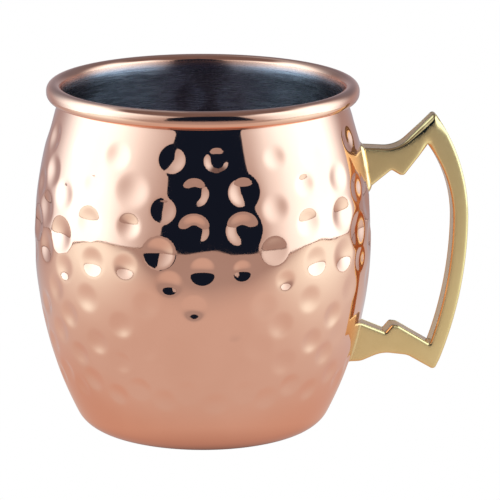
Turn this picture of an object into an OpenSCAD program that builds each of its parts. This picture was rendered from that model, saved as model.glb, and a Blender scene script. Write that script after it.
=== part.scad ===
// Hammered copper mug with a steel lining and a cast brass handle, in millimetres.
// The origin is the middle of the base where it rests, +Z is up and the handle points along +X.

/* [Cup] */
// Height from the table to the top of the rolled rim
cup_h = 95; // [90:0.5:100]
// Largest outside radius of the cup
belly_r = 45.9; // [44.5:0.1:47]
// Height of the widest ring
belly_z = 52; // [50:0.5:54]
// Radius of the long arc that the side follows from foot to neck
belly_arc = 108; // [104:1:114]
// Outside radius of the round corner between the side and the base
foot_arc = 7.5; // [5:0.5:9]
// Thickness of the copper sheet
shell_t = 0.6; // [0.5:0.05:0.8]
// Thickness of the steel sheet
liner_t = 0.4; // [0.3:0.05:0.6]

/* [Rolled rim] */
// Radius from the mug's axis to the middle of the rim bead
rim_r = 40.25; // [40:0.05:40.6]
// Width of the bead
rim_w = 4.2; // [4:0.1:4.6]
// Height of the bead
rim_h = 4.75; // [4.6:0.05:5.2]
// How far above level the inner edge of the bead meets the lining, in degrees
seam_angle = 20; // [15:1:25]

/* [Handle] */
// Thickness of the casting from face to face
handle_t = 7; // [5:0.5:9]
// Distance from the mug's axis to the outermost point of the grip
grip_reach = 72.9; // [71:0.1:75]
// Height of that outermost point
grip_z = 55.5; // [55:0.5:57]
// Thickness of the grip from its outer edge to its inner edge
grip_t = 4.2; // [3.6:0.1:5]
// Radius of the grip's outer edge above its outermost point
grip_arc_up = 52; // [51:0.5:55]
// Radius of the grip's inner edge above its outermost point
palm_arc_up = 35; // [33:0.5:40]
// Radius of the grip's outer edge below its outermost point
grip_arc_down = 110; // [107:1:114]
// Height of the top edge of the upper arm
upper_arm_z = 76.5; // [75.5:0.1:77]
// Height of the lower arm's root at its top edge
lower_arm_z = 27.2; // [26.5:0.1:27.5]

/* [Brazed joints] */
// Thickness of the brazing metal between the cup and the handle
braze_t = 0.4; // [0.2:0.05:0.6]
// How far the brazing metal runs out past the handle's foot
braze_rim = 1; // [0.6:0.1:1.5]

/* [Hidden] */
$fn = 144;

COPPER = [0.85, 0.55, 0.42];
RIM_COPPER = [0.90, 0.60, 0.46];
STEEL = [0.62, 0.63, 0.66];
BRASS = [0.80, 0.68, 0.38];
BRAZE = [0.87, 0.74, 0.46];

wall_t = shell_t + liner_t;
side_steps = 24;
corner_steps = 8;
// Reaches past the cup and the handle, for cutting tools
far = 200;

// Points along an arc, from angle a0 to angle a1 about the centre c
function arc(c, r, a0, a1, steps) =
    [for (i = [0:steps]) let (a = a0 + (a1 - a0) * i / steps) c + r * [cos(a), sin(a)]];

// The long side arc and the foot's corner, which touch at the angle foot_a
side_c = [belly_r - belly_arc, belly_z];
foot_c = [side_c[0] + sqrt(pow(belly_arc - foot_arc, 2) - pow(belly_z - foot_arc, 2)), foot_arc];
foot_a = atan2(foot_c[1] - side_c[1], foot_c[0] - side_c[0]);

// The bead is two circles, one above the other, and what lies between them
bead_r = rim_w / 2;
bead_top = [rim_r, cup_h - bead_r];
bead_bottom = [rim_r, cup_h - rim_h + bead_r];

// The wall turns outwards into the bead along a small arc. It touches the side arc at the angle
// neck_a, and at the seam it lies flush with the bead.
seam_dir = [cos(seam_angle), -sin(seam_angle)];
seam = bead_top - bead_r * seam_dir;
side_in = belly_arc - wall_t;
from_side = seam - side_c;
flare_in = (from_side * from_side - side_in * side_in) / (2 * (side_in - from_side * seam_dir));
flare_c = seam + flare_in * seam_dir;
flare_out = flare_in - wall_t;
neck_a = atan2(flare_c[1] - side_c[1], flare_c[0] - side_c[0]);

// The cup's section at depth d under the copper's outer face, from the base to the seam
function skin(d) = concat(
    [[0, d]],
    arc(foot_c, foot_arc - d, -90, foot_a, corner_steps),
    arc(side_c, belly_arc - d, foot_a, neck_a, side_steps),
    arc(flare_c, flare_out + d, 180 + neck_a, 180 - seam_angle, corner_steps));

function backwards(list) = [for (i = [len(list) - 1:-1:0]) list[i]];

module sheet_cup(d0, d1) {
    rotate_extrude() polygon(concat(skin(d0), backwards(skin(d1))));
}

// Everything inside the skin at depth d, as a solid
module cup_block(d) {
    rotate_extrude() polygon(concat(skin(d), [[0, cup_h]]));
}

// Rounds each corner [x, z, radius] of a closed outline; a radius of 0 keeps the point
function unit(v) = v / norm(v);
function corner(p, q, s) =
    let (b = [q[0], q[1]], r = q[2])
    r == 0 ? [b] :
    let (u = unit([p[0], p[1]] - b), v = unit([s[0], s[1]] - b),
         half = acos(u * v) / 2,
         c = b + unit(u + v) * r / sin(half),
         e0 = b + u * r / tan(half) - c,
         e1 = b + v * r / tan(half) - c,
         a0 = atan2(e0[1], e0[0]),
         turn = atan2(e1[1], e1[0]) - a0,
         sweep = turn > 180 ? turn - 360 : turn < -180 ? turn + 360 : turn)
    arc(c, r, a0, a0 + sweep, 6);
function rounded(list) =
    let (n = len(list))
    [for (i = [0:n - 1]) each corner(list[(i + n - 1) % n], list[i], list[(i + 1) % n])];

// The copper cup: base, foot, side and flared lip in one sheet
module outer_shell() {
    color(COPPER) sheet_cup(0, shell_t);
}

// The steel cup that lies against the copper all over
module inner_liner() {
    color(STEEL) sheet_cup(shell_t, wall_t);
}

module bead_section(inset) {
    translate(bead_top) circle(bead_r - inset);
    translate(bead_bottom) circle(bead_r - inset);
    translate([rim_r - bead_r + inset, bead_bottom[1]])
        square([rim_w - 2 * inset, rim_h - rim_w]);
}

// The copper sheet curled over both lips. Its section is a C whose ends close on the wall.
module rolled_rim() {
    lip = arc(flare_c, flare_out, 180 + neck_a, 180 - seam_angle, corner_steps);
    color(RIM_COPPER)
        rotate_extrude()
            difference() {
                bead_section(0);
                bead_section(shell_t);
                polygon(concat([[0, lip[0][1]]], lip, [seam - seam_dir * bead_r, [0, seam[1]]]));
            }
}

// Angle on an arc of radius r, centred at the grip's height, at which it reaches the height z
function grip_angle(r, z) = asin((z - grip_z) / r);

// The casting's outline as [x, z, corner radius], clockwise from the root of the upper arm.
// Both arms run on into the cup, which cuts them off.
horn_z = 85.2;
toe_z = 14.6;
palm_top_z = upper_arm_z + 0.4;
palm_bottom_z = 20.6;
out_up_c = [grip_reach - grip_arc_up, grip_z];
out_down_c = [grip_reach - grip_arc_down, grip_z];
palm_x = grip_reach - grip_t;
palm_up_c = [palm_x - palm_arc_up, grip_z];
palm_arc_down = grip_arc_down - grip_t;
function flat(list) = [for (p = list) [p[0], p[1], 0]];
horn_a = grip_angle(grip_arc_up, horn_z);
toe_a = grip_angle(grip_arc_down, toe_z);
palm_top_a = grip_angle(palm_arc_up, palm_top_z);
palm_bottom_a = grip_angle(palm_arc_down, palm_bottom_z);
horn = out_up_c + grip_arc_up * [cos(horn_a), sin(horn_a)];
toe = out_down_c + grip_arc_down * [cos(toe_a), sin(toe_a)];
root_x = 30;
outline = concat(
    // top of the upper arm, up to the horn
    [[root_x, upper_arm_z + 0.8, 0], [53.1, upper_arm_z - 0.7, 8], [horn[0] - 0.3, horn[1] + 0.5, 0.9]],
    // outer edge of the grip
    flat(arc(out_up_c, grip_arc_up, horn_a - 1.5, 0, 12)),
    flat(arc(out_down_c, grip_arc_down, -1, toe_a + 0.9, 12)),
    // the toe and the underside of the lower arm
    [[toe[0] - 0.9, toe[1] - 1.6, 1.1], [56.5, toe_z + 2.9, 5], [49.4, 18.5, 9], [43.5, 16.1, 5],
     [root_x, 15.9, 0]],
    // top of the lower arm with its barb
    [[root_x, lower_arm_z + 5.6, 0], [50.3, lower_arm_z - 3.0, 0.4], [52.1, lower_arm_z - 0.9, 1],
     [54.0, lower_arm_z - 1.2, 1.2]],
    // inner edge of the grip
    flat(arc(out_down_c, palm_arc_down, palm_bottom_a, -1, 12)),
    flat(arc(palm_up_c, palm_arc_up, 0, palm_top_a, 12)),
    // underside of the upper arm with its barb
    [[54.9, 68.5, 1], [53.8, 68.6, 0.8], [51.4, 70.1, 0.8], [root_x, 52.8, 0]]);

// The cast brass handle, cut to lie on the brazing metal
module handle() {
    color(BRASS)
        difference() {
            rotate([90, 0, 0])
                linear_extrude(handle_t, center = true)
                    polygon(rounded(outline));
            cup_block(-braze_t);
        }
}

// A pad of brazing metal on the cup's side, from z0 to z1, a little larger than the handle's foot
module braze_pad(z0, z1) {
    w = handle_t / 2 + braze_rim;
    r = 1.4;
    color(BRAZE)
        intersection() {
            sheet_cup(0, -braze_t);
            rotate([90, 0, 90])
                linear_extrude(far)
                    polygon(rounded([[-w, z0, r], [w, z0, r], [w, z1, r], [-w, z1, r]]));
        }
}

module upper_braze() {
    braze_pad(64.6 - braze_rim, upper_arm_z + 0.1 + braze_rim);
}

module lower_braze() {
    braze_pad(15.9 - braze_rim, lower_arm_z + braze_rim);
}

outer_shell();
inner_liner();
rolled_rim();
handle();
upper_braze();
lower_braze();
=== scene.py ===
"""Looks for the hammered copper mug: mesh pieces, node materials, a light tent and the camera.

Lengths are in millimetres up to mesh_piece(), which writes metres. The mug stands on z = 0 about the
Z axis, with its handle along +X. A section of the cup is a list of rows (r, z, nr, nz): radius, height
and the direction that faces out of the sheet.
"""

import math

import bpy
import numpy as np
from mathutils import Matrix, Vector
from mathutils.geometry import delaunay_2d_cdt


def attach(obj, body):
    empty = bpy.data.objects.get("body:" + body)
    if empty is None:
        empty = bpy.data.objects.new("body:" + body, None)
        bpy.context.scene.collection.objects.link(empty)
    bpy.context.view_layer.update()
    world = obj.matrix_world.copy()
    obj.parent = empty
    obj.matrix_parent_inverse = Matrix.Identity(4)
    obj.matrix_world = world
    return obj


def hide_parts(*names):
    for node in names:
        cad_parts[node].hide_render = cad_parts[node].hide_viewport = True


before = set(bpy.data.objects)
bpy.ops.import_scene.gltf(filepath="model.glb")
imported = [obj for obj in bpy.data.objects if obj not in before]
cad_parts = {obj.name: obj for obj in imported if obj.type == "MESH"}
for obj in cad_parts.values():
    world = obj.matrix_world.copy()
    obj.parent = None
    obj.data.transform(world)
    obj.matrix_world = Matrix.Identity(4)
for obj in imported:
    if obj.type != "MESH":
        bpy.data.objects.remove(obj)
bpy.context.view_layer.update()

MM = 0.001

# ---------------------------------------------------------------- the CAD's sizes and the cup's section
CUP_H = 95.0
BELLY_R, BELLY_Z, BELLY_ARC = 45.9, 52.0, 108.0
FOOT_ARC = 7.5
SHELL_T, WALL_T = 0.6, 1.0
RIM_R, RIM_W, RIM_H = 40.25, 4.2, 4.75
SEAM_ANGLE = math.radians(20)
HANDLE_T = 7.0

SIDE_C = np.array([BELLY_R - BELLY_ARC, BELLY_Z])
FOOT_C = np.array([SIDE_C[0] + math.sqrt((BELLY_ARC - FOOT_ARC) ** 2 - (BELLY_Z - FOOT_ARC) ** 2), FOOT_ARC])
FOOT_A = math.atan2(*(FOOT_C - SIDE_C)[::-1])
BEAD_R = RIM_W / 2
BEAD_TOP = np.array([RIM_R, CUP_H - BEAD_R])
BEAD_BOTTOM = np.array([RIM_R, CUP_H - RIM_H + BEAD_R])
SEAM_DIR = np.array([math.cos(SEAM_ANGLE), -math.sin(SEAM_ANGLE)])
SEAM = BEAD_TOP - BEAD_R * SEAM_DIR
SIDE_IN = BELLY_ARC - WALL_T
FROM_SIDE = SEAM - SIDE_C
FLARE_IN = (FROM_SIDE @ FROM_SIDE - SIDE_IN ** 2) / (2 * (SIDE_IN - FROM_SIDE @ SEAM_DIR))
FLARE_C = SEAM + FLARE_IN * SEAM_DIR
FLARE_OUT = FLARE_IN - WALL_T
NECK_A = math.atan2(*(FLARE_C - SIDE_C)[::-1])


def arc_rows(centre, radius, a0, a1, steps, facing=1):
    """Rows along an arc, with the sheet's outside away from the centre (facing 1) or towards it (-1)."""
    a = np.linspace(a0, a1, steps + 1)
    d = np.stack([np.cos(a), np.sin(a)], 1)
    return np.hstack([np.asarray(centre) + radius * d, facing * d])


def skin(depth, base, foot, side, flare):
    """The cup's section at a depth under the copper's outer face, from the axis to the seam."""
    r = np.linspace(0, FOOT_C[0], base + 1)[:-1]
    flat = np.stack([r, np.full_like(r, depth), np.zeros_like(r), -np.ones_like(r)], 1)
    return np.vstack([
        flat,
        arc_rows(FOOT_C, FOOT_ARC - depth, -math.pi / 2, FOOT_A, foot)[:-1],
        arc_rows(SIDE_C, BELLY_ARC - depth, FOOT_A, NECK_A, side)[:-1],
        arc_rows(FLARE_C, FLARE_OUT + depth, math.pi + NECK_A, math.pi - SEAM_ANGLE, flare, -1),
    ])


def side_radius(z, depth=0.0):
    """Radius of the cup's long side arc at a height."""
    return SIDE_C[0] + np.sqrt((BELLY_ARC - depth) ** 2 - (np.asarray(z) - BELLY_Z) ** 2)


# ---------------------------------------------------------------- meshes
def mesh_piece(name, verts, faces, material, smooth=True):
    mesh = bpy.data.meshes.new(name)
    mesh.from_pydata((np.asarray(verts) * MM).tolist(), [], faces)
    mesh.validate()
    if smooth:
        mesh.shade_smooth()
    mesh.materials.append(material)
    obj = bpy.data.objects.new(name, mesh)
    bpy.context.scene.collection.objects.link(obj)
    return obj


def lathe(rows, columns, depth=None, closed=False):
    """Verts and faces of rows turned about Z. A row on the axis is one vertex. depth[row, column] moves the
    surface against its rows' direction. Rows that run from the axis out and up give faces that look out."""
    theta = np.arange(columns) * 2 * math.pi / columns
    verts, first = [], []
    for i, (r, z, nr, nz) in enumerate(rows):
        first.append(len(verts))
        if r < 1e-6:
            verts.append((0.0, 0.0, z))
            continue
        d = depth[i] if depth is not None else np.zeros(columns)
        rr, zz = r - nr * d, z - nz * d
        verts += list(zip(rr * np.cos(theta), rr * np.sin(theta), zz))
    faces = []
    count = len(rows)
    for i in range(count if closed else count - 1):
        k = (i + 1) % count
        a, b = first[i], first[k]
        pole_a, pole_b = rows[i][0] < 1e-6, rows[k][0] < 1e-6
        if pole_a and pole_b:
            continue
        for j in range(columns):
            n = (j + 1) % columns
            if pole_a:
                faces.append((a, b + n, b + j))
            elif pole_b:
                faces.append((a + j, a + n, b))
            else:
                faces.append((a + j, a + n, b + n, b + j))
    return verts, faces


# ---------------------------------------------------------------- hammer marks
# The marks lie in rows. Each row has its height, the radius at which a mark is steepest, and for every
# mark its angle round from the front and that steepest slope, both in degrees. The back has the same rows.
# A third number scales the mark's radius. A hard blow leaves a crisp edge and a light one a soft hollow,
# unless a fourth number, the power of its section, says otherwise.
MARK_ROWS = [
    (82.3, 3.0, [(-78, 13), (-54, 8), (-38, 11, 0.85), (-16.5, 11, 1, 1.2), (-0.5, 21), (21.3, 8, 0.75),
                 (38, 8), (64, 14), (84, 12)]),
    (74.1, 3.2, [(-72, 13), (-47, 12, 0.8), (-30.5, 9), (-8.5, 19), (8.5, 17), (32.3, 16, 0.75),
                 (49.5, 10, 0.85)]),
    (69.4, 2.9, [(-82, 12), (-61.4, 11), (-19, 9, 1, 1.2), (19.8, 8, 0.85), (62, 13), (82, 12)]),
    (64.4, 3.5, [(-74, 12), (-47.4, 14, 0.9), (-31, 13, 0.72), (-8.5, 19), (7.8, 16), (32.4, 14, 0.78),
                 (49.6, 12), (73, 13)]),
    (58.5, 3.6, [(-82, 13), (-61.6, 13), (-20, 17, 1, 1.15), (18.7, 5.5, 1, 1.12), (60.4, 13), (84, 13)]),
    (53.7, 3.3, [(-72, 12), (-45, 12, 0.9), (-32, 10, 0.75), (-5.7, 15, 0.8), (7.4, 13, 0.62),
                 (35.3, 12, 0.9), (49.4, 12), (75, 12)]),
    (50.0, 2.7, [(-86, 10), (-59, 10), (-16.6, 10, 0.9), (22.7, 10, 0.72), (62, 11), (88, 10)]),
    (43.4, 2.7, [(-65, 9), (-47.8, 9), (-24.5, 5), (-8.5, 12.5, 0.9), (15, 4), (32.8, 9), (54, 5),
                 (73, 6)]),
    (37.2, 2.7, [(-75, 11.5), (-57.8, 13), (-34.2, 13), (-16.3, 8), (5.2, 9), (21.6, 10.5), (44.7, 13),
                 (86, 10.5)]),
    (31.5, 2.7, [(-84, 11.5), (-65.4, 13), (-45, 15.5), (-25.3, 10.5), (-4.8, 8), (13.8, 8), (35.4, 15.5),
                 (49.5, 4), (76, 4)]),
    (26.5, 2.7, [(-76, 11.5), (-55.4, 15.5), (-35.8, 15.5), (-15.3, 9), (3, 8), (24.3, 13),
                 (43.3, 14.5), (86, 9)]),
    (19.6, 2.6, [(-85, 8), (-69, 10.5), (-51, 14.5), (-29.7, 14.5), (-11.4, 9), (10.2, 8), (28.8, 14.5),
                 (50.5, 11.5), (70, 8)]),
    (16.5, 2.4, [(-78, 8), (-60, 11.5), (-39.8, 14.5), (-20, 9), (-0.6, 8), (19, 9), (39.2, 13),
                 (60, 10.5), (80, 8)]),
]
# The slopes of a soft and of a hard blow, and the powers that they give
BLOW_SLOPES, BLOW_POWERS = (8, 17), (1.85, 1.37)
MARK_SEED, WAVE_SEED = 7, 3
# Beside a mark the sheet is drawn in by this share of the mark's depth, out to this many radii
DRAWN_IN, DRAWN_REACH = 0.07, 1.7
DEEPEST = 0.88
# Slow waves in the sheet: turns round the cup, turn per mm of height, and height in mm
WAVES = ((7, 0.11, 0.016), (11, 0.17, 0.009), (17, 0.21, 0.006), (26, 0.15, 0.004))
# Bottom and top of each foot of the handle
FEET = [(64.6, 76.6), (15.9, 27.2)]


def hammer_marks():
    """Every mark as (angle in radians from +X, height, radius, depth, power), with a hand's small scatter.
    Its section is depth (1 - t^2)^power, with t the share of the radius."""
    draw = np.random.default_rng(MARK_SEED)
    marks = []
    for turn in (0, 180):
        for z, steep_at, row in MARK_ROWS:
            for degrees, slope, *shape in row:
                jig = draw.normal(0, 1, 3)
                angle = math.radians(degrees + turn - 90 + 0.004 * turn * jig[0])
                size = shape[0] if shape else 1.0
                power = shape[1] if len(shape) > 1 else float(np.interp(slope, BLOW_SLOPES, BLOW_POWERS))
                wide = 2 * power - 1
                radius = size * steep_at * math.sqrt(wide) * (1 + 0.03 * jig[1])
                steepest = 2 * power / math.sqrt(wide) * ((wide - 1) / wide) ** (power - 1)
                depth = radius * math.tan(math.radians(slope)) / steepest
                marks.append((angle, z + 0.2 * jig[2], radius, depth, power))
    return marks


def foot_mask(angle, z):
    """0 under the handle's feet, 1 well away from them."""
    away = np.full(np.broadcast(angle, z).shape, 1e3)
    for z0, z1 in FEET:
        y = np.abs(side_radius(z) * np.sin(angle)) + 1e3 * (np.cos(angle) < 0)
        dy = np.maximum(y - HANDLE_T / 2, 0)
        dz = np.maximum(np.maximum(z0 - z, z - z1), 0)
        away = np.minimum(away, np.hypot(dy, dz))
    t = np.clip((away - 1.2) / 3.0, 0, 1)
    return t * t * (3 - 2 * t)


def dented(rows, columns, gain, spread=1.0):
    """How far each point of the lathed rows is beaten inwards. spread widens every mark."""
    theta = np.arange(columns) * 2 * math.pi / columns
    r, z = rows[:, 0], rows[:, 1]
    along = np.concatenate([[0], np.cumsum(np.hypot(np.diff(r), np.diff(z)))])
    side = z > 3
    depth = np.zeros((len(rows), columns))
    sunk = np.zeros_like(depth)
    for angle, zc, radius, h, power in hammer_marks():
        s0 = np.interp(zc, z[side], along[side])
        reach = radius * DRAWN_REACH * spread
        near = np.where(side & (np.abs(along - s0) < reach))[0]
        if not len(near):
            continue
        turn = (theta - angle + math.pi) % (2 * math.pi) - math.pi
        x = turn * side_radius(zc)
        cols = np.where(np.abs(x) < reach)[0]
        t2 = (x[cols][None, :] ** 2 + (along[near] - s0)[:, None] ** 2) / (radius * spread) ** 2
        patch = np.ix_(near, cols)
        depth[patch] = np.maximum(depth[patch], h * np.maximum(1 - t2, 0) ** power)
        sunk[patch] += DRAWN_IN * h * np.maximum(1 - t2 / 2.6, 0) ** 2
    depth = np.minimum(depth + sunk, DEEPEST)
    draw = np.random.default_rng(WAVE_SEED)
    waves = np.zeros_like(depth)
    for around, up, size in WAVES:
        for sign in (1, -1):
            waves += size * np.sin(around * theta[None, :] + sign * up * z[:, None] + draw.uniform(0, 6.28))
    # The waves die away towards the foot and the rim
    fade = np.clip((z - 8) / 16, 0, 1) * np.clip((88.5 - z) / 4, 0, 1)
    total = gain * (depth + waves * fade[:, None])
    return total * foot_mask(theta[None, :], z[:, None])


# ---------------------------------------------------------------- node materials
class Nodes:
    """A short way to write a material's nodes. Lengths in a material are in metres."""

    def __init__(self, name):
        self.material = bpy.data.materials.new(name)
        self.material.use_nodes = True
        self.tree = self.material.node_tree
        self.shader = self.tree.nodes["Principled BSDF"]

    def add(self, kind, inputs=None, **settings):
        node = self.tree.nodes.new(kind)
        for key, value in settings.items():
            setattr(node, key, value)
        for key, value in (inputs or {}).items():
            self.set(node, key, value)
        return node

    def set(self, node, key, value):
        socket = node.inputs[key]
        if isinstance(value, bpy.types.NodeSocket):
            self.tree.links.new(value, socket)
        else:
            socket.default_value = value

    def math(self, operation, a, b=0.0):
        return self.add("ShaderNodeMath", {0: a, 1: b}, operation=operation).outputs[0]

    def product(self, *factors):
        total = factors[0]
        for factor in factors[1:]:
            total = self.math("MULTIPLY", total, factor)
        return total

    def distance(self, a, b, stretch=1):
        """The root of stretch a^2 + b^2."""
        return self.math("SQRT", self.math("ADD", self.product(a, a, stretch), self.product(b, b)))

    def ramp(self, fac, low, high, a=0.0, b=1.0):
        """A smooth step from a to b as fac goes from low to high."""
        sockets = {"Value": fac, "From Min": low, "From Max": high, "To Min": a, "To Max": b}
        node = self.add("ShaderNodeMapRange", sockets, interpolation_type="SMOOTHSTEP")
        return node.outputs["Result"]

    def mix(self, fac, a, b):
        node = self.add("ShaderNodeMix", data_type="RGBA")
        self.set(node, 0, fac)
        self.set(node, 6, a)
        self.set(node, 7, b)
        return node.outputs[2]

    def place(self, scale=(1, 1, 1)):
        """Object coordinates times a scale."""
        where = self.add("ShaderNodeTexCoord").outputs["Object"]
        return self.add("ShaderNodeVectorMath", {0: where, 1: scale}, operation="MULTIPLY").outputs[0]

    def axes(self):
        """Object coordinates as x, y and z."""
        return self.add("ShaderNodeSeparateXYZ", {0: self.add("ShaderNodeTexCoord").outputs["Object"]}).outputs

    def rings(self):
        """A vector that changes only with the distance from the Z axis and with height, for turned lines."""
        x, y, z = self.axes()
        return self.add("ShaderNodeCombineXYZ", {0: self.distance(x, y), 1: z, 2: 0.0}).outputs[0]

    def noise(self, vector, scale, detail=3.0, rough=0.5):
        sockets = {"Vector": vector, "Scale": scale, "Detail": detail, "Roughness": rough}
        return self.add("ShaderNodeTexNoise", sockets).outputs["Fac"]

    def bump(self, height, distance, under=None):
        """Surface detail of a height in metres, on top of the bump given as under."""
        node = self.add("ShaderNodeBump", {"Height": height, "Distance": distance, "Strength": 1.0})
        if under is not None:
            self.set(node, "Normal", under)
        return node.outputs["Normal"]

    def metal(self, colour, roughness, normal):
        """Finish as a metal and give back the material."""
        self.shader.inputs["Metallic"].default_value = 1.0
        self.set(self.shader, "Base Color", colour)
        self.set(self.shader, "Roughness", roughness)
        self.set(self.shader, "Normal", normal)
        return self.material


def hammered_copper():
    """Polished copper with slow changes of tone and a faint haze."""
    m = Nodes("hammered_copper")
    cloud = m.ramp(m.noise(m.place(), 38, 3), 0.35, 0.65)
    tone = m.mix(cloud, (0.895, 0.452, 0.300, 1), (0.925, 0.478, 0.322, 1))
    haze = m.ramp(m.noise(m.place(), 900, 4), 0.3, 0.75, 0.025, 0.06)
    polish = m.noise(m.place((1, 1, 6)), 2600, 2)
    return m.metal(tone, haze, m.bump(polish, 0.0000006))


def rim_copper():
    """Copper with the fine lines of the tool that rolled the bead."""
    m = Nodes("rim_copper")
    cloud = m.ramp(m.noise(m.place(), 60, 3), 0.35, 0.65)
    tone = m.mix(cloud, (0.895, 0.445, 0.290, 1), (0.925, 0.475, 0.318, 1))
    turned = m.noise(m.rings(), 5200, 2)
    return m.metal(tone, m.ramp(turned, 0.3, 0.75, 0.07, 0.15), m.bump(turned, 0.000003))


# Heights between which the lining's steel gives way to copper plating
PLATING_FROM, PLATING_TO = 0.0915, 0.0937


def lining_steel():
    """Steel turned on a lathe: the grooves run round, so gloss spreads up and down."""
    m = Nodes("lining_steel")
    fine = m.noise(m.rings(), 3000, 3, 0.6)
    broad = m.noise(m.rings(), 500, 3, 0.6)
    # Short streaks left by the polishing, much longer round than they are high
    streak = m.noise(m.place((0.05, 0.05, 1)), 2600, 3, 0.6)
    steel = m.mix(m.ramp(broad, 0.35, 0.7), (0.43, 0.385, 0.415, 1), (0.51, 0.455, 0.49, 1))
    darker, lighter = m.mix(0.10, steel, (0, 0, 0, 1)), m.mix(0.14, steel, (1, 1, 1, 1))
    steel = m.mix(m.ramp(streak, 0.35, 0.7), darker, lighter)
    plating = m.ramp(m.axes()[2], PLATING_FROM, PLATING_TO)
    m.shader.inputs["Anisotropic"].default_value = 1.0
    m.shader.inputs["Anisotropic Rotation"].default_value = 0.25
    m.set(m.shader, "Tangent", m.add("ShaderNodeTangent", direction_type="RADIAL", axis="Z").outputs[0])
    return m.metal(m.mix(plating, steel, (0.91, 0.46, 0.31, 1)), m.ramp(streak, 0.3, 0.75, 0.24, 0.30),
                   m.bump(fine, 0.00002, m.bump(broad, 0.00005)))


# Distance from the casting's middle plane at which its polished edge ends and its satin face starts
EDGE_ENDS, FACE_STARTS = 0.00334, 0.00345


def cast_brass():
    """Brass with two faces brushed to a satin and polished edges."""
    m = Nodes("cast_brass")
    cloud = m.ramp(m.noise(m.place(), 90, 4, 0.6), 0.3, 0.7)
    tone = m.mix(cloud, (0.87, 0.565, 0.245, 1), (0.91, 0.600, 0.268, 1))
    face = m.ramp(m.math("ABSOLUTE", m.axes()[1]), EDGE_ENDS, FACE_STARTS)
    grain = m.noise(m.place(), 1500, 4, 0.65)
    roughness = m.math("ADD", m.ramp(grain, 0.3, 0.75, 0.08, 0.16), m.product(face, 0.26))
    return m.metal(tone, roughness, m.bump(grain, 0.0000025))


def brazing_metal():
    """A yellower alloy, run smooth by the flame."""
    m = Nodes("brazing_metal")
    cloud = m.noise(m.place(), 300, 3)
    tone = m.mix(m.ramp(cloud, 0.35, 0.65), (0.82, 0.53, 0.24, 1), (0.89, 0.60, 0.31, 1))
    return m.metal(tone, m.ramp(cloud, 0.3, 0.7, 0.10, 0.18), m.bump(m.noise(m.place(), 1800, 2), 0.00001))


# ---------------------------------------------------------------- the copper cup
SHELL_COLUMNS, LINING_COLUMNS, RIM_COLUMNS = 504, 360, 256
# The two sheets meet at this depth, out of sight and under the deepest mark
HIDDEN = 0.93
# The bead closes on the neck this far round from level
CURL_END = -math.radians(175)


def make_shell():
    """The copper sheet: its hammered outside and a plain back, out of sight."""
    outer = skin(0.0, 7, 14, 140, 9)
    inner = skin(HIDDEN, 2, 3, 16, 2)[::-1]
    rows = np.vstack([outer, inner])
    depth = np.zeros((len(rows), SHELL_COLUMNS))
    depth[:len(outer)] = dented(outer, SHELL_COLUMNS, 1.0)
    verts, faces = lathe(rows, SHELL_COLUMNS, depth)
    return mesh_piece("copper_cup", verts, faces, hammered_copper())


def make_lining():
    """The steel sheet, which shows the blows faintly. Past the seam it runs on under the bead."""
    tuck = np.vstack([arc_rows(BEAD_TOP, BEAD_R - under, math.pi - SEAM_ANGLE - math.radians(turn), 0, 1)[:1]
                      for turn, under in ((4, 0.012), (9, 0.05), (15, 0.12))])
    inner = np.vstack([skin(WALL_T, 8, 12, 96, 7), tuck])[::-1]
    outer = skin(HIDDEN + 0.01, 2, 3, 16, 3)[:-1]
    rows = np.vstack([outer, inner])
    depth = np.zeros((len(rows), LINING_COLUMNS))
    depth[len(outer):] = dented(inner[::-1], LINING_COLUMNS, 0.5, 1.2)[::-1]
    verts, faces = lathe(rows, LINING_COLUMNS, depth)
    return mesh_piece("steel_lining", verts, faces, lining_steel())


def make_rim():
    """The bead's outside, from under the lining over the top and down to the neck, and the curl's inside."""
    start = math.pi - SEAM_ANGLE
    lead = np.vstack([arc_rows(FLARE_C, FLARE_IN - under, start + math.radians(turn), 0, 1, -1)[:1]
                      for turn, under in ((10, 0.12), (6, 0.05), (3, 0.012))])
    top = np.vstack([lead, arc_rows(BEAD_TOP, BEAD_R, start, 0, 26)])
    bottom = arc_rows(BEAD_BOTTOM, BEAD_R, 0, CURL_END, 26)
    inner_bottom = arc_rows(BEAD_BOTTOM, BEAD_R - SHELL_T, CURL_END, 0, 8)
    inner_top = arc_rows(BEAD_TOP, BEAD_R - SHELL_T, 0, start, 8)
    rows = np.vstack([bottom[::-1], top[::-1], inner_top[::-1], inner_bottom[::-1]])
    verts, faces = lathe(rows, RIM_COLUMNS, closed=True)
    return mesh_piece("rim_bead", verts, faces, rim_copper())


# ---------------------------------------------------------------- the brass handle
GRIP_REACH, GRIP_Z, GRIP_T = 72.9, 55.5, 4.2
GRIP_UP, PALM_UP, GRIP_DOWN = 52.0, 35.0, 110.0
UPPER_ARM_Z, LOWER_ARM_Z = 76.5, 27.2
HORN_Z, TOE_Z = 85.2, 14.6
# Each arm's straight lower and upper edge, as the (x, z) of its root inside the cup and of its first corner
ROOT_X = 30
ARM_EDGES = {
    "upper": (((ROOT_X, 52.8), (51.4, 70.1)), ((ROOT_X, UPPER_ARM_Z + 0.8), (53.1, UPPER_ARM_Z - 0.7))),
    "lower": (((ROOT_X, 15.9), (43.5, 16.1)), ((ROOT_X, LOWER_ARM_Z + 5.6), (50.3, LOWER_ARM_Z - 3.0))),
}


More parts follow.
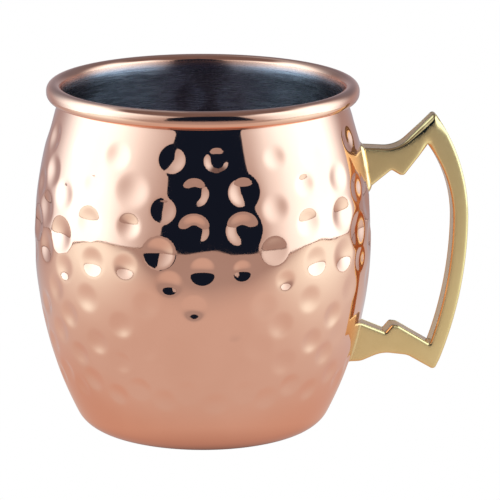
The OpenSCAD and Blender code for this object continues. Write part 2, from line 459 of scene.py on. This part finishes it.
def handle_outline():
    """The casting's outline as [x, z, corner radius], clockwise from the root of the upper arm."""
    out_up = (GRIP_REACH - GRIP_UP, GRIP_Z)
    out_down = (GRIP_REACH - GRIP_DOWN, GRIP_Z)
    palm_x = GRIP_REACH - GRIP_T
    palm_up = (palm_x - PALM_UP, GRIP_Z)
    palm_down = GRIP_DOWN - GRIP_T

    def turn(radius, z):
        return math.asin((z - GRIP_Z) / radius)

    def run(centre, radius, a0, a1):
        return [(p[0], p[1], 0) for p in arc_rows(centre, radius, a0, a1, 40)]

    one = math.radians(1)
    (upper_low, upper_barb), (upper_high, upper_bend) = ARM_EDGES["upper"]
    (lower_low, lower_bend), (lower_high, lower_barb) = ARM_EDGES["lower"]
    horn_a, toe_a = turn(GRIP_UP, HORN_Z), turn(GRIP_DOWN, TOE_Z)
    horn = (out_up[0] + GRIP_UP * math.cos(horn_a), HORN_Z)
    toe = (out_down[0] + GRIP_DOWN * math.cos(toe_a), TOE_Z)
    return (
        [(*upper_high, 0), (*upper_bend, 8), (horn[0] - 0.3, horn[1] + 0.5, 0.9)]
        + run(out_up, GRIP_UP, horn_a - 1.5 * one, 0)
        + run(out_down, GRIP_DOWN, -one, toe_a + 0.9 * one)
        + [(toe[0] - 0.9, toe[1] - 1.6, 1.1), (56.5, TOE_Z + 2.9, 5), (49.4, 18.5, 9)]
        + [(*lower_bend, 5), (*lower_low, 0), (*lower_high, 0), (*lower_barb, 0.4)]
        + [(52.1, LOWER_ARM_Z - 0.9, 1), (54.0, LOWER_ARM_Z - 1.2, 1.2)]
        + run(out_down, palm_down, turn(palm_down, 20.6), -one)
        + run(palm_up, PALM_UP, 0, turn(PALM_UP, UPPER_ARM_Z + 0.4))
        + [(54.9, 68.5, 1), (53.8, 68.6, 0.8), (*upper_barb, 0.8), (*upper_low, 0)]
    )


def round_corners(points, steps=10):
    """Every corner [x, z, radius] of a closed outline turned into an arc."""
    out = []
    n = len(points)
    for i, (x, z, radius) in enumerate(points):
        b = np.array([x, z])
        if radius == 0:
            out.append(b)
            continue
        u = np.array(points[i - 1][:2]) - b
        v = np.array(points[(i + 1) % n][:2]) - b
        u, v = u / np.linalg.norm(u), v / np.linalg.norm(v)
        half = math.acos(u @ v) / 2
        mid = (u + v) / np.linalg.norm(u + v)
        c = b + mid * radius / math.sin(half)
        e0, e1 = b + u * radius / math.tan(half) - c, b + v * radius / math.tan(half) - c
        a0 = math.atan2(e0[1], e0[0])
        turn = (math.atan2(e1[1], e1[0]) - a0 + math.pi) % (2 * math.pi) - math.pi
        out += [c + radius * np.array([math.cos(a0 + turn * k / steps), math.sin(a0 + turn * k / steps)])
                for k in range(steps + 1)]
    return np.array(out)


def clip_at_cup(points, depth):
    """The closed outline without what lies inside the cup, and which of its points are on the cut."""
    inside = points[:, 0] < side_radius(points[:, 1], depth)
    out, root = [], []
    n = len(points)
    for i in range(n):
        p, q = points[i], points[(i + 1) % n]
        if not inside[i]:
            out.append(p)
            root.append(False)
        if inside[i] != inside[(i + 1) % n]:
            lo, hi = 0.0, 1.0
            for _ in range(40):
                mid = (lo + hi) / 2
                s = p + (q - p) * mid
                if (s[0] < side_radius(s[1], depth)) == inside[i]:
                    lo = mid
                else:
                    hi = mid
            out.append(p + (q - p) * lo)
            root.append(True)
    return np.array(out), np.array(root)


def densify(points, root, step, depth):
    """Points no further than a step apart, and which of them start a stretch along the cup's side."""
    out, is_root = [], []
    n = len(points)
    for i in range(n):
        p, q = points[i], points[(i + 1) % n]
        on_root = bool(root[i] and root[(i + 1) % n])
        count = max(1, int(math.ceil(np.linalg.norm(q - p) / step)))
        for k in range(count):
            s = p + (q - p) * k / count
            if on_root and k:
                s = np.array([side_radius(s[1], depth), s[1]])
            out.append(s)
            is_root.append(on_root)
    return np.array(out), np.array(is_root)


def edge_distance(points, a, b):
    """Distance from each point to the nearest of the segments a-b."""
    best = np.full(len(points), 1e9)
    for p0, p1 in zip(a, b):
        d = p1 - p0
        t = np.clip(((points - p0) @ d) / max(d @ d, 1e-12), 0, 1)
        best = np.minimum(best, np.linalg.norm(points - p0 - t[:, None] * d, axis=1))
    return best


# How far the arms reach into the copper, out of sight
ROOT_DEPTH = 0.45
# Radius of the casting's edges, how much more it is on the slope up to the horn, and how far and over what
# width the faces are crowned
EDGE_ROUND, HORN_ROUND = 0.75, 1.15
CROWN, CROWN_WIDTH = 0.10, 2.2
# Spacing of the outline's points and of those inside a face, and the rings of points along the edges
OUTLINE_STEP, FACE_STEP = 0.45, 0.9
EDGE_RINGS = (0.06, 0.15, 0.28, 0.44, 0.62, 0.80, 1.15)


def make_handle():
    """A flat casting with rounded edges: two faces whose height falls off towards the outline."""
    sparse, root = clip_at_cup(round_corners(handle_outline()), ROOT_DEPTH)
    outline, seg_root = densify(sparse, root, OUTLINE_STEP, ROOT_DEPTH)
    n = len(outline)
    nxt = np.roll(outline, -1, axis=0)
    free = ~seg_root
    fa, fb = outline[free], nxt[free]
    # Inward normals of an outline that runs clockwise
    tangent = nxt - np.roll(outline, 1, axis=0)
    tangent /= np.linalg.norm(tangent, axis=1)[:, None]
    inward = np.stack([tangent[:, 1], -tangent[:, 0]], 1)
    samples = [outline]
    for k, offset in enumerate(EDGE_RINGS):
        ring = outline + inward * offset
        keep = edge_distance(ring, fa, fb) > offset * 0.97 - 0.005
        if k % 2 and k > 3:
            keep &= np.arange(n) % 2 == 0
        samples.append(ring[keep])
    # A staggered grid fills what lies further in
    lo, hi = outline.min(0), outline.max(0)
    gx, gz = np.meshgrid(np.arange(lo[0], hi[0], FACE_STEP), np.arange(lo[1], hi[1], FACE_STEP))
    gx = gx + FACE_STEP / 2 * (np.arange(gx.shape[0]) % 2)[:, None]
    grid = np.stack([gx.ravel(), gz.ravel()], 1)
    crosses = np.zeros(len(grid), bool)
    for p0, p1 in zip(outline, nxt):
        straddle = (p0[1] > grid[:, 1]) != (p1[1] > grid[:, 1])
        if straddle.any():
            at = p0[0] + (grid[:, 1] - p0[1]) * (p1[0] - p0[0]) / (p1[1] - p0[1] + 1e-12)
            crosses ^= straddle & (grid[:, 0] < at)
    grid = grid[crosses]
    off_edge = edge_distance(grid, fa, fb) > 1.5
    off_root = edge_distance(grid, outline[seg_root], nxt[seg_root]) > 0.5
    samples.append(grid[off_edge & off_root])
    flat = [Vector(p) for p in np.vstack(samples)]
    loop = [(i, (i + 1) % n) for i in range(n)]
    points, _, tris, _, _, _ = delaunay_2d_cdt(flat, loop, [list(range(n))], 1, 1e-5)
    pts = np.array([tuple(p) for p in points])
    d = edge_distance(pts, fa, fb)
    d[:n] = np.where(edge_distance(outline, fa, fb) < 1e-4, 0, d[:n])
    # The long slope up to the horn has a fuller edge
    x, z = pts.T
    slope = np.clip((x - 52) / 8, 0, 1) * np.clip((z - 74) / 5, 0, 1) * np.clip((66.5 - x) / 2, 0, 1)
    edge = EDGE_ROUND + HORN_ROUND * slope
    t = np.clip(d / edge, 0, 1)
    rise = HANDLE_T / 2 - CROWN - edge + edge * np.sqrt(1 - (1 - t) ** 2)
    crown = np.clip(d / CROWN_WIDTH, 0, 1)
    rise += CROWN * crown * (2 - crown)
    count = len(pts)
    verts = [(p[0], side * h, p[1]) for side in (-1, 1) for p, h in zip(pts, rise)]
    faces = []
    for tri in tris:
        a, b, c = (pts[i] for i in tri)
        ccw = (b[0] - a[0]) * (c[1] - a[1]) - (b[1] - a[1]) * (c[0] - a[0]) > 0
        tri = list(tri) if ccw else list(tri)[::-1]
        faces.append(tuple(tri))
        faces.append(tuple(count + i for i in tri[::-1]))
    # The rim of the casting, in strips from face to face
    rings = [list(range(n))]
    for level in np.linspace(-1, 1, 7)[1:-1]:
        rings.append(list(range(len(verts), len(verts) + n)))
        verts += [(outline[i][0], rise[i] * level, outline[i][1]) for i in range(n)]
    rings.append([count + i for i in range(n)])
    for low, high in zip(rings, rings[1:]):
        for i in range(n):
            k = (i + 1) % n
            faces.append((low[i], high[i], high[k], low[k]))
    return mesh_piece("brass_handle", verts, faces, cast_brass())


# ---------------------------------------------------------------- the brazed joints
# For each arm, the size of the bead of brazing metal, how full it is from 0, hollow, to 1, round, and the
# seed of its uneven edge
FILLETS = {"upper": (0.95, 0.75, 11), "lower": (0.9, 0.0, 12)}
# The bead's edge wanders: waves in one turn and their share of its size
WANDER = ((2, 0.06), (3, 0.06), (5, 0.05), (9, 0.03))
BRAZE_COLUMNS, BRAZE_STEPS = 150, 8
# The bead's hidden sides lie this far inside the cup and the arm
SUNK = 0.12
# The bead's points are evenly spaced this far outside the arm
EVEN_AT = 0.95


def arm_section(which, x):
    """Bottom and top of an arm at a distance from the axis."""
    return [z0 + (z1 - z0) * (x - x0) / (x1 - x0) for (x0, z0), (x1, z1) in ARM_EDGES[which]]


def section_ring(z0, z1, grow, count):
    """Points (y, z) round a rounded rectangle as thick as the casting, grown outwards."""
    r = EDGE_ROUND
    half = HANDLE_T / 2 - r
    mid, high = (z0 + z1) / 2, (z1 - z0) / 2 - r
    path = []
    for cy, cz, a in ((half, high, 0), (-half, high, 90), (-half, -high, 180), (half, -high, 270)):
        for k in range(9):
            t = math.radians(a + 90 * k / 8)
            path.append((cy, cz, math.cos(t), math.sin(t)))
    path.append(path[0])
    path = np.array(path)
    outer = path[:, :2] + path[:, 2:] * (r + EVEN_AT)
    walk = np.concatenate([[0], np.cumsum(np.linalg.norm(np.diff(outer, axis=0), axis=1))])
    at = np.arange(count) * walk[-1] / count
    cy, cz, dy, dz = (np.interp(at, walk, path[:, i]) for i in range(4))
    size = np.hypot(dy, dz)
    return np.stack([cy + dy / size * (r + grow), mid + cz + dz / size * (r + grow)], 1)


def make_braze(which):
    """A bead of brazing metal round the foot of one arm. Its section is a list of (away from the arm, away
    from the cup), from a feather edge on the cup to one on the arm and back out of sight."""
    size, full, seed = FILLETS[which]
    count = BRAZE_COLUMNS
    curve = [(size * ((1 - full) * (1 - math.sin(t)) + full * math.cos(t)),
              size * ((1 - full) * (1 - math.cos(t)) + full * math.sin(t)))
             for t in np.linspace(0, math.pi / 2, BRAZE_STEPS + 1)]
    curve = [(curve[0][0] + 0.05, -SUNK)] + curve + [(-SUNK, curve[-1][1] + 0.02), (-SUNK, -SUNK)]
    draw = np.random.default_rng(seed)
    u = np.arange(count) * 2 * math.pi / count
    wander = 1 + sum(a * np.sin(k * u + draw.uniform(0, 6.28)) for k, a in WANDER)
    verts = []
    for away, lift in curve:
        # The arm's height and the cup's side depend on each other, so both are found in a few rounds
        x = np.full(count, 43.0)
        for _ in range(12):
            z0, z1 = arm_section(which, x)
            mid0, mid1 = arm_section(which, float(np.mean(x)))
            base = section_ring(mid0, mid1, 0, count)
            # Slide each point with the slant of the arm's upper and lower edges
            share = np.clip((base[:, 1] - mid0) / (mid1 - mid0), 0, 1)
            z = z0 + share * (z1 - z0)
            out = section_ring(mid0, mid1, 1.0, count) - base
            y = base[:, 0] + out[:, 0] * away * wander
            z = z + out[:, 1] * away * wander
            surface = np.sqrt(np.maximum(side_radius(z) ** 2 - y ** 2, 1))
            x = surface + lift * np.where(lift > 0, wander, 1)
        verts += list(zip(x, y, z))
    faces = []
    rings = len(curve)
    for i in range(rings):
        k = (i + 1) % rings
        for j in range(count):
            n = (j + 1) % count
            faces.append((i * count + j, k * count + j, k * count + n, i * count + n))
    return mesh_piece(f"{which}_braze_bead", verts, faces, brazing_metal())


copper_cup = make_shell()
steel_lining = make_lining()
rim_bead = make_rim()
brass_handle = make_handle()
beads = {which: make_braze(which) for which in ("upper", "lower")}

for piece, node, slot in (
    (copper_cup, "outer_shell", "hammered_copper"),
    (steel_lining, "inner_liner", "lining_steel"),
    (rim_bead, "rolled_rim", "rim_copper"),
    (brass_handle, "handle", "cast_brass"),
    (beads["upper"], "upper_braze", "brazing_metal"),
    (beads["lower"], "lower_braze", "brazing_metal"),
):
    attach(piece, "root")
    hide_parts(node)


# ---------------------------------------------------------------- the light tent and the floor
class Glow(Nodes):
    """A light-giving surface whose colour follows its place in the room, in metres."""

    def __init__(self, name):
        super().__init__(name)
        self.tree.nodes.remove(self.shader)
        self.lamp = self.add("ShaderNodeEmission")
        self.tree.links.new(self.lamp.outputs[0], self.tree.nodes["Material Output"].inputs["Surface"])
        split = self.add("ShaderNodeSeparateXYZ", {0: self.add("ShaderNodeNewGeometry").outputs["Position"]})
        self.x, self.y, self.z = split.outputs

    def lit(self, colour):
        """Give the light this colour and give back the material."""
        self.set(self.lamp, "Color", colour)
        return self.material


# The cloth's colours: in front, by the lamps, low and high behind the mug, and overhead
EDGE_GLOW = (0.55, 0.61, 0.69, 1)
CORE_GLOW = (1.70, 2.55, 3.20, 1)
DIM_GLOW = (0.44, 0.42, 0.46, 1)
BACK_GLOW = (0.21, 0.24, 0.31, 1)
ROOF_GLOW = (0.19, 0.185, 0.21, 1)
SEAM_GLOW = (0.20, 0.17, 0.17, 1)
# The floor's glow, painted light and shade: the mug's painted shadow, painted contact shade under its foot,
# painted copper-warm bounce light by it, the lit floor further out, painted lamp light at the lamps, and
# painted dimmer light in front and behind
SHADOW_FLOOR, FOOT_SHADE_FLOOR = (0.10, 0.06, 0.05, 1), (0.50, 0.39, 0.37, 1)
WARM_BOUNCE_FLOOR, COOL_FLOOR = (0.65, 0.50, 0.44, 1), (0.67, 0.68, 0.71, 1)
LAMP_FLOOR = (1.15, 1.65, 1.86, 1)
FRONT_FLOOR, BACK_FLOOR = (0.44, 0.46, 0.51, 1), (0.46, 0.44, 0.47, 1)
# The lamps' pools on the floor: middle x and y, half width and half depth
POOLS = ((-0.36, -0.045, 0.31, 0.25), (0.30, -0.07, 0.28, 0.20))
# The unlit room beyond the tent's opening
DARK = (0.0071, 0.0165, 0.045, 1)
WHITE = (1, 1, 1, 1)


def tent_cloth(name, rise, fall):
    """Cloth lit from outside by a lamp: hot at the side, dimmer in front, behind and overhead."""
    g = Glow(name)
    hot = g.product(g.ramp(g.y, *rise), g.ramp(g.y, *fall), g.ramp(g.z, 0.46, 0.30))
    rest = g.mix(g.ramp(g.z, 0.28, 0.44), EDGE_GLOW, ROOF_GLOW)
    behind = g.mix(g.ramp(g.z, 0.08, 0.19), DIM_GLOW, BACK_GLOW)
    return g.lit(g.mix(hot, g.mix(g.ramp(g.y, 0.05, 0.20), rest, behind), CORE_GLOW))


def oval(g, x, y, wide, deep):
    """1 in the middle of an oval on the floor, 0 at its edge."""
    across = g.math("DIVIDE", g.math("SUBTRACT", g.x, x), wide)
    along = g.math("DIVIDE", g.math("SUBTRACT", g.y, y), deep)
    return g.ramp(g.distance(across, along), 1.0, 0.2)


def tent_floor():
    """The floor as the metal sees it, with painted light and shade: warm with painted copper bounce light by
    the mug, its painted shadow and painted contact shade under the foot, bright with painted pools of lamp
    light, and dim with painted shade at the open front.
    """
    g = Glow("tent_floor")
    tint = g.math("SUBTRACT", g.distance(g.x, g.y), g.product(g.y, 0.5))
    near = g.distance(g.x, g.y, 1.3)
    # Painted copper-warm bounce light by the mug, giving way to the cooler lit floor further out
    glow = g.mix(g.ramp(tint, 0.038, 0.085), WARM_BOUNCE_FLOOR, COOL_FLOOR)
    # Painted contact shade under the foot and, closer in, the mug's painted shadow
    glow = g.mix(g.ramp(near, 0.033, 0.042), FOOT_SHADE_FLOOR, glow)
    glow = g.mix(g.ramp(near, 0.027, 0.035), SHADOW_FLOOR, glow)
    # Painted dimmer light towards the open front and behind the mug
    glow = g.mix(g.ramp(g.y, -0.12, -0.24), glow, FRONT_FLOOR)
    glow = g.mix(g.ramp(g.y, 0.02, 0.24), glow, BACK_FLOOR)
    # Painted pools of the lamps' light
    for pool in POOLS:
        glow = g.mix(oval(g, *pool), glow, LAMP_FLOOR)
    return g.lit(glow)


def stage_sheet(name, verts, material, faces=None, camera_only=False):
    """A sheet that only lights the mug, or one that only the camera sees."""
    sheet = mesh_piece(name, verts, faces or [tuple(range(len(verts)))], material, smooth=False)
    sheet.visible_camera = camera_only
    for ray in ("visible_diffuse", "visible_glossy", "visible_transmission", "visible_shadow"):
        setattr(sheet, ray, not camera_only)


# The tent is a cone of cloth over the mug, open towards the camera. Its foot is a list of [degrees
# round from the front, distance from the mug in mm].
TENT_FOOT = [(-180, 250), (-125, 310), (-103, 337), (-87, 421), (-76, 472), (-55, 495), (-40, 500),
             (-23, 528), (0, 556), (18, 535), (30, 490), (41, 410), (52, 374), (64, 409), (76, 415), (86, 393),
             (101, 362), (130, 320), (180, 250)]
TENT_TOP = 1250
SEAM_H = 3
# The edges of the opening, as (height, degrees from the front). They meet overhead.
LEFT_EDGE = [(SEAM_H, -32.4), (130, -30), (207, -30.4), (262, -27.3), (330, -23), (400, -18.5), (450, -13),
             (478, -6), (488, -0.5), (1240, -0.5)]
RIGHT_EDGE = [(SEAM_H, 30.5), (127, 26.6), (204, 25), (254, 24), (400, 20.5), (450, 14.5), (478, 7),
              (488, 0.5), (1240, 0.5)]
# Where the lamp's light on each side rises and falls, as y in metres
LEFT_LAMP = (-0.42, -0.05), (0.23, 0.06)
RIGHT_LAMP = (-0.42, -0.08), (0.17, 0.0)


def tent_point(degrees, z):
    """The point of the tent at an angle round from the front and a height."""
    r = np.interp(degrees, *zip(*TENT_FOOT)) * (1 - z / TENT_TOP)
    return r * math.sin(math.radians(degrees)), -r * math.cos(math.radians(degrees)), z


def tent_wall(name, edge, material, columns=60):
    """Cloth from an edge of the opening round to the back."""
    verts = [tent_point(t, z) for z, start in edge
             for t in np.linspace(start, math.copysign(180, start), columns)]
    faces = [(k, k + 1, k + 1 + columns, k + columns)
             for i in range(len(edge) - 1) for k in range(i * columns, (i + 1) * columns - 1)]
    stage_sheet(name, verts, material, faces)


for side, edge, lamp in (("left", LEFT_EDGE, LEFT_LAMP), ("right", RIGHT_EDGE, RIGHT_LAMP)):
    tent_wall(f"tent_{side}", edge, tent_cloth(f"tent_{side}", *lamp))
    tent_wall(f"tent_{side}_seam", [(0, edge[0][1]), (SEAM_H, edge[0][1])], Glow("tent_seam").lit(SEAM_GLOW))
stage_sheet("tent_floor", [tent_point(t, -0.5) for t in range(-180, 180, 4)], tent_floor())

# The dark room in front of the opening and over the tent: half its width, and its front, bottom and top
WIDE, FRONT, LOW, HIGH = 600, -640, -200, 1400
dark = Glow("dark_room").lit(DARK)
for name, y0, z0, y1, z1 in (
    ("dark_room", FRONT, LOW, FRONT, HIGH),
    ("dark_ceiling", FRONT, HIGH, WIDE, HIGH),
):
    stage_sheet(name, [(-WIDE, y0, z0), (WIDE, y0, z0), (WIDE, y1, z1), (-WIDE, y1, z1)], dark)
FLOOR = 3000
stage_sheet("floor", [(-FLOOR, -FLOOR, 0), (FLOOR, -FLOOR, 0), (FLOOR, FLOOR, 0), (-FLOOR, FLOOR, 0)],
            Glow("floor").lit(WHITE), camera_only=True)

world = bpy.data.worlds.new("studio")
bpy.context.scene.world = world
world.use_nodes = True
world.node_tree.nodes["Background"].inputs["Color"].default_value = WHITE
world.node_tree.nodes["Background"].inputs["Strength"].default_value = 1.0


# ---------------------------------------------------------------- camera
CAMERA_DISTANCE = 900.0
# Height on the mug's axis that the camera looks at before it turns aside
AIM_Z = 48.07
# How far the camera stands above level and round to the left, and how far it turns aside to the right
CAMERA_UP = math.radians(14.05)
CAMERA_ROUND = math.radians(5.5)
TURN_ASIDE = math.radians(0.818594)
LENS, SENSOR = 236.84, 36

back = Vector((-math.sin(CAMERA_ROUND) * math.cos(CAMERA_UP), -math.cos(CAMERA_ROUND) * math.cos(CAMERA_UP),
               math.sin(CAMERA_UP)))
right = Vector((math.cos(CAMERA_ROUND), -math.sin(CAMERA_ROUND), 0))
up = back.cross(right)
camera = bpy.data.objects.new("camera", bpy.data.cameras.new("camera"))
bpy.context.scene.collection.objects.link(camera)
camera.data.lens, camera.data.sensor_width = LENS, SENSOR
camera.data.clip_start, camera.data.clip_end = 0.05, 20
aside_right = right * math.cos(TURN_ASIDE) + back * math.sin(TURN_ASIDE)
aside_back = back * math.cos(TURN_ASIDE) - right * math.sin(TURN_ASIDE)
place = (Vector((0, 0, AIM_Z)) + back * CAMERA_DISTANCE) * MM
camera.matrix_world = Matrix.Translation(place) @ Matrix((aside_right, up, aside_back)).transposed().to_4x4()
bpy.context.scene.camera = camera
bpy.context.scene.view_settings.view_transform = "Standard"
